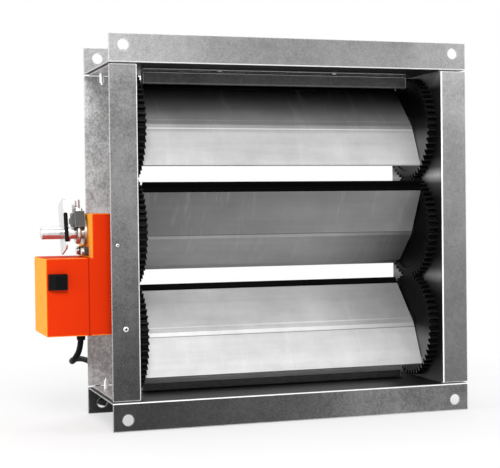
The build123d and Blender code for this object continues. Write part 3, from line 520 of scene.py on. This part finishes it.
# the supply cord, one tube from the gland through the coil to its bare end
cordSettings = {
    "diameter": 0.0056,
    "length": 0.9,
    # the route's points in metres: exit, down, back past the frame, down to the coil
    "route": [
        (-0.2010, 0.040, -0.0915), (-0.2010, 0.040, -0.1080), (-0.2072, 0.050, -0.1215),
        (-0.2050, 0.070, -0.1225), (-0.1965, 0.094, -0.1238), (-0.1850, 0.121, -0.1270),
        (-0.1710, 0.144, -0.1335), (-0.1630, 0.1575, -0.1515), (-0.1585, 0.1690, -0.1675)],
    "tail": [(-0.1180, 0.2118, -0.1792), (-0.1135, 0.2118, -0.1792)],
    "coilMiddle": (-0.122, 0.176),
    "outer": 0.0358,           # radii of the two rings of turns
    "inner": 0.0302,
    "startAngle": 172,         # degrees, walked clockwise from here
    "wound": 1160,             # degrees walked in all
    "perTurn": 14,
    "inwards": (286, 330),     # degrees walked where the turns change ring or layer
    "downwards": (598, 646),
    "outwards": (903, 948),
    "upperLift": 1.54,         # the layers' heights over the floor, in diameters
    "lowerLift": 0.505,
    "floor": -0.182,
}


def coilPoints(s):
    # points on a circle, walked in even steps: outer top, inner top, inner floor, outer floor
    step = 360 / s["perTurn"]
    walked = np.append(np.arange(0, s["wound"] - step, step), float(s["wound"]))
    angle = np.radians(s["startAngle"] - walked)
    outer, inner = (s[k] / math.cos(math.pi / s["perTurn"]) for k in ("outer", "inner"))
    radius = np.interp(walked, [0, *s["inwards"], *s["outwards"]],
                       [outer, outer, inner, inner, outer])
    top, low = (s["floor"] + s[k] * s["diameter"] for k in ("upperLift", "lowerLift"))
    height = np.interp(walked, [0, *s["downwards"]], [top, top, low])
    return np.stack([s["coilMiddle"][0] + radius * np.cos(angle),
                     s["coilMiddle"][1] + radius * np.sin(angle), height], axis=1)


def makeCord(s):
    points = np.vstack([np.array(s["route"]), coilPoints(s), np.array(s["tail"])])
    curve = bpy.data.curves.new("powerCord", "CURVE")
    curve.dimensions = "3D"
    curve.bevel_depth = s["diameter"] / 2
    curve.bevel_resolution = 5
    curve.resolution_u = 8
    curve.use_fill_caps = True
    spline = curve.splines.new("NURBS")
    spline.points.add(len(points) - 1)
    spline.points.foreach_set("co", np.hstack([points, np.ones((len(points), 1))]).ravel())
    spline.order_u = 3
    spline.use_endpoint_u = True
    cord = addObject("powerCord", curve)
    curve.materials.append(looks["cordJacket"])
    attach(cord, "frame")
    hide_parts("supply_cord", "cord_coil")


makeCord(cordSettings)
print("cord laid")


# small pieces worked out as surfaces
meshSettings = {"merge": 1e-6, "sharpAngle": 32}


def makePiece(name, grids, look, body, replaced=()):
    # each grid points[u, v] becomes quads closed in v; doubled points at poles are merged
    rows, columns = grids[0].shape[:2]
    index = np.arange(rows * columns).reshape(rows, columns)
    index = np.hstack([index, index[:, :1]])
    quads = np.stack([index[:-1, :-1], index[1:, :-1], index[1:, 1:], index[:-1, 1:]], axis=-1)
    quads = np.concatenate([quads.reshape(-1, 4) + k * rows * columns for k in range(len(grids))])
    points = np.concatenate([grid.reshape(-1, 3) for grid in grids])
    mesh = bpy.data.meshes.new(name)
    mesh.from_pydata(points.tolist(), [], quads.tolist())
    work = bmesh.new()
    work.from_mesh(mesh)
    bmesh.ops.remove_doubles(work, verts=work.verts, dist=meshSettings["merge"])
    bmesh.ops.recalc_face_normals(work, faces=work.faces)
    work.to_mesh(mesh)
    work.free()
    mesh.shade_smooth()
    piece = addObject(name, mesh)
    mesh.materials.append(looks[look])
    mesh.set_sharp_from_angle(angle=math.radians(meshSettings["sharpAngle"]))
    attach(piece, body)
    if replaced:
        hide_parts(*replaced)


def turned(profile, centre, axis, around=28):
    # a profile of (radius, height) rows turned about an axis through centre
    axis = Vector(axis)
    side = axis.orthogonal().normalized()
    other = axis.cross(side)
    angle = np.linspace(0, 2 * math.pi, around, endpoint=False)[:, None]
    ring = np.cos(angle) * np.array(side) + np.sin(angle) * np.array(other)
    radius, height = np.array(profile).T[:, :, None, None]
    return np.array(centre) + radius * ring[None] + height * np.array(axis)


def domeProfile(radius, height, hole, depth, sink=0.0002, steps=9):
    # foot, a rounded dome, then a small sunken hole in its middle
    rise = np.linspace(0, math.pi / 2, steps)
    dome = np.stack([hole + (radius - hole) * np.cos(rise) ** 0.8, height * np.sin(rise)], axis=1)
    bottom = height - depth
    sunk = [(hole * 0.92, height - depth * 0.5), (hole * 0.85, bottom), (0, bottom)]
    return np.vstack([[(radius, -sink)], dome, sunk])


# flange rivets: a dome with a pin in its hole, black as painted shade, proud of the flange's face
# at y = 0
rivetSettings = {
    "small": 0.0017, "large": 0.0026, "height": 0.0009,
    "hole": 0.42, "depth": 0.8,                # shares of the radius and the height, as is the pin
    "pin": [(0.4, 0.3), (0.4, 0.45), (0.2, 0.5), (0, 0.5)],
}


def makeFlangeRivets(s):
    # the small one sits at the box's upper left corner and the large one at its lower right
    low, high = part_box("flange_rivets")
    small, large, height = s["small"], s["large"], s["height"]
    places = [(small, (low.x + small, 0, high.z - small)),
              (large, (high.x - large, 0, low.z + large))]
    heads, pins = [], []
    for radius, middle in places:
        dome = domeProfile(radius, height, radius * s["hole"], height * s["depth"])
        pin = [(radius * r, height * h) for r, h in s["pin"]]
        heads.append(turned(dome, middle, (0, -1, 0)))
        pins.append(turned(pin, middle, (0, -1, 0)))
    makePiece("flangeRivetHeads", heads, "rivetAluminium", "frame",
              ("flange_rivets",))
    makePiece("flangeRivetPins", pins, "recessBlack", "frame")


# cover screws: sunk heads on the cover's far side, one of them with a recess whose socket is black
# as painted shade
screwSettings = {
    "radius": 0.0022, "hole": 0.6, "around": 20,
    "middle": (0.0283, 0.0341),                # the recessed one, back and down from the corner
    "socket": [(0.58, 0.1), (0.58, 0.3), (0, 0.3)],    # shares of the radius and the height
}


def makeCoverScrews(s):
    # three sit at corners of their box, and the recessed one inside it
    low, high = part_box("cover_screws")
    radius, height = s["radius"], high.x - low.x
    back, down = s["middle"]
    recessed = (high.x, low.y + back, high.z - down)
    corners = [(low.y, high.z, 1, -1), (low.y, low.z, 1, 1), (high.y, high.z, -1, -1)]
    middles = [(high.x, y + radius * inY, z + radius * inZ) for y, z, inY, inZ in corners]
    dome = domeProfile(radius, height, radius * s["hole"], height)
    heads = [turned(dome, middle, (-1, 0, 0), s["around"]) for middle in (*middles, recessed)]
    makePiece("coverScrewHeads", heads, "housingOrange", "frame", ("cover_screws",))
    socket = [(radius * r, height * h) for r, h in s["socket"]]
    makePiece("coverScrewSocket", [turned(socket, recessed, (-1, 0, 0), s["around"])],
              "recessBlack", "frame")


makeFlangeRivets(rivetSettings)
makeCoverScrews(screwSettings)
print("rivets and screws dressed")

# the clamp's axes lean in the plane of the side wall, about the drive shaft
clampSettings = {"lean": 15.0, "middleY": 0.059, "legAt": 0.00853}     # middleY: the shafts' plane
lean = math.radians(clampSettings["lean"])
outward = np.array([1, 0, 0])
across = np.array([0, math.cos(lean), -math.sin(lean)])
up = np.array([0, math.sin(lean), math.cos(lean)])
boltLow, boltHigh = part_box("u_bolt")
clampMiddle = np.array([(boltLow.x + boltHigh.x) / 2, clampSettings["middleY"], 0])

# U-bolt: a wire tube along legs and bend, its radius rippled by the thread near the tips
boltSettings = {
    "wire": 0.0025, "top": 0.030, "step": 0.0002, "bendSteps": 24, "around": 16,
    "threadFrom": 0.012, "threadFade": 0.002, "pitch": 0.0008, "depth": 0.00026,
    "tip": 0.0012, "tipRound": 0.75,
}


def makeBolt(s, legAt):
    # a circle carried down one leg, round the bend and up the other; a triangle wave that climbs
    # with the angle is taken off for the thread, and the root of a parabola rounds the tips
    heights = np.concatenate([[s["top"]], np.arange(s["top"] - s["step"], 0, -s["step"])])
    bend = np.linspace(0, math.pi, s["bendSteps"])
    left = np.stack([np.full_like(heights, -legAt), heights], axis=1)
    arc = np.stack([-legAt * np.cos(bend), -legAt * np.sin(bend)], axis=1)
    line = np.concatenate([left, arc, left[::-1] * (-1, 1)])
    tangent = np.gradient(line, axis=0)
    tangent /= np.linalg.norm(tangent, axis=1)[:, None]
    sideways = np.stack([-tangent[:, 1], tangent[:, 0]], axis=1)
    angle = np.linspace(0, 2 * math.pi, s["around"], endpoint=False)
    height = line[:, 1][:, None]
    wave = np.abs((height / s["pitch"] + angle[None] / (2 * math.pi)) % 1 - 0.5) * 2
    threaded = np.clip((height - s["threadFrom"]) / s["threadFade"], 0, 1)
    tip = np.clip((s["top"] - height) / s["tip"], 0, 1)
    radius = s["wire"] - s["depth"] * wave * threaded
    radius = radius * np.sqrt(1 - (1 - tip) ** 2 * s["tipRound"])
    radius[0], radius[-1] = 0, 0
    flat = line[:, None] + (radius * np.cos(angle))[:, :, None] * sideways[:, None]
    return (clampMiddle + flat[..., :1] * across + flat[..., 1:] * up
            + (radius * np.sin(angle))[:, :, None] * outward)


makePiece("threadedBolt", [makeBolt(boltSettings, clampSettings["legAt"])], "zincBright",
          "middle_blade_set", ("u_bolt",))

# nuts: six flats, with the corners of both faces cut by a cone
nutSettings = {"flat": 0.0040, "corner": 0.00459, "faceShare": 0.96, "chamfer": 0.0004,
               "height": 0.0042, "bore": 0.00256, "foot": 0.017, "around": 48}


def makeNut(s, legAt):
    # each row is a ring at one height: round on the faces and in the bore, the hexagon between them
    angle = np.linspace(0, 2 * math.pi, s["around"], endpoint=False)
    sixth = math.pi / 3
    hexagon = s["flat"] / np.cos((angle + sixth / 2) % sixth - sixth / 2)
    hexagon = np.minimum(hexagon, s["corner"])
    bore, face = (np.full_like(angle, r) for r in (s["bore"], s["flat"] * s["faceShare"]))
    top = s["height"]
    rows = [(0, bore), (0, face), (s["chamfer"], hexagon), (top - s["chamfer"], hexagon),
            (top, face), (top, bore), (0, bore)]
    heights = np.array([row[0] for row in rows])[:, None, None]
    radius = np.array([row[1] for row in rows])[:, :, None]
    angle = angle[None, :, None]
    return (clampMiddle + legAt * across + (s["foot"] + heights) * up
            + radius * np.cos(angle) * across + radius * np.sin(angle) * outward)


makePiece("clampNuts", [makeNut(nutSettings, side * clampSettings["legAt"]) for side in (-1, 1)],
          "zincBright", "middle_blade_set", ("clamp_nuts",))

# dark edging on the front edge of the indicator plate: a rounded bar carried down the edge
edgingSettings = {"from": -0.0130, "to": 0.0160, "out": 0.0160, "thick": 0.0019, "proud": 0.0016,
                  "inset": 0.00075, "squareness": 0.5, "around": 20, "rows": 30, "taper": 0.05}


def makeEdging(s, plateX):
    # the section is the root of cosine and sine, signs kept, and it narrows at both ends
    angle = np.linspace(0, 2 * math.pi, s["around"], endpoint=False)
    thick, proud = (np.abs(wave) ** s["squareness"] * np.sign(wave) * s[k]
                    for wave, k in ((np.cos(angle), "thick"), (np.sin(angle), "proud")))
    along = np.linspace(0, 1, s["rows"])
    taper = np.clip(np.minimum(along, 1 - along) / s["taper"], 0, 1)[:, None] ** 0.5
    heights = s["from"] + (s["to"] - s["from"]) * along
    middle = np.array([plateX + s["inset"], clampMiddle[1], 0])
    return (middle + heights[:, None, None] * up - s["out"] * across
            + (taper * thick)[:, :, None] * outward + (taper * proud)[:, :, None] * across)


makePiece("indicatorEdging", [makeEdging(edgingSettings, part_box("indicator_plate")[0].x)],
          "buttonBlack", "middle_blade_set")
print("clamp dressed")


# floor and light
def seenDirectly(tree):
    # 1 for what the camera sees, also in gloss or through glass, and 0 for the light itself
    path = tree.nodes.new("ShaderNodeLightPath")
    seen = path.outputs["Is Camera Ray"]
    for kind in ("Is Glossy Ray", "Is Transmission Ray"):
        either = tree.nodes.new("ShaderNodeMath")
        either.operation = "MAXIMUM"
        tree.links.new(seen, either.inputs[0])
        tree.links.new(path.outputs[kind], either.inputs[1])
        seen = either.outputs[0]
    return seen


floorSettings = {
    "below": 0.0006,                # under the cord's floor
    "reach": 6.0, "tone": grey(0.9), "rough": 0.9, "specular": 0.1,
    "fade": (0.55, 1.0, 0.22, 0.62),        # share of white, near and far, and those distances
}


def makeFloor(s, height):
    # a flat sheet, pale near the object and fading to the plain white background further out
    reach = s["reach"]
    corners = [(x * reach, y * reach, height) for x, y in ((-1, -1), (1, -1), (1, 1), (-1, 1))]
    mesh = bpy.data.meshes.new("studioFloor")
    mesh.from_pydata(corners, [], [(0, 1, 2, 3)])
    floor = addObject("studioFloor", mesh)
    n = Nodes("studioFloor")
    n.set(Base_Color=s["tone"], Roughness=s["rough"], Specular_IOR_Level=s["specular"])
    distance = n.add("ShaderNodeVectorMath", operation="LENGTH")
    n.link(n.coords, distance.inputs[0])
    fade = n.spread(distance.outputs["Value"], *s["fade"])
    white = n.add("ShaderNodeEmission")
    blend = n.add("ShaderNodeMixShader")
    n.link(n.maths("MULTIPLY", fade, seenDirectly(n.tree)), blend.inputs[0])
    n.link(n.shader.outputs[0], blend.inputs[1])
    n.link(white.outputs[0], blend.inputs[2])
    n.link(blend.outputs[0], n.tree.nodes["Material Output"].inputs["Surface"])
    mesh.materials.append(n.material)


lampSettings = [
    # name, place, aim, size, watts
    ("keyLamp", (-0.5, -1.8, 1.15), (0, 0.05, 0), 0.8, 40),
    ("sideLamp", (1.7, -0.9, 0.7), (0, 0.05, 0), 0.7, 10),
    ("leftLamp", (-1.9, -0.2, 0.3), (-0.2, 0.05, 0), 0.8, 16),
    ("topLamp", (0.1, 0.5, 1.8), (0, 0.06, 0), 1.2, 14),
]


def makeLamps(lamps):
    for name, place, aim, size, watts in lamps:
        data = bpy.data.lights.new(name, "AREA")
        data.energy = watts
        data.size = size
        lamp = addObject(name, data)
        lamp.location = place
        lamp.rotation_mode = "QUATERNION"
        lamp.rotation_quaternion = (Vector(aim) - Vector(place)).to_track_quat("-Z", "Y")


def makeWorld(level):
    # white where it is seen, and a soft level of light otherwise
    world = bpy.data.worlds.new("studio")
    bpy.context.scene.world = world
    world.use_nodes = True
    tree = world.node_tree
    back = tree.nodes["Background"]
    back.inputs["Color"].default_value = (1, 1, 1, 1)
    shade = tree.nodes.new("ShaderNodeMapRange")
    shade.inputs["To Min"].default_value = level
    shade.inputs["To Max"].default_value = 1.0
    tree.links.new(seenDirectly(tree), shade.inputs["Value"])
    tree.links.new(shade.outputs["Result"], back.inputs["Strength"])


makeFloor(floorSettings, cordSettings["floor"] - floorSettings["below"])
makeLamps(lampSettings)
makeWorld(level=0.22)
bpy.context.scene.view_settings.view_transform = "Standard"
print("floor and lamps set")
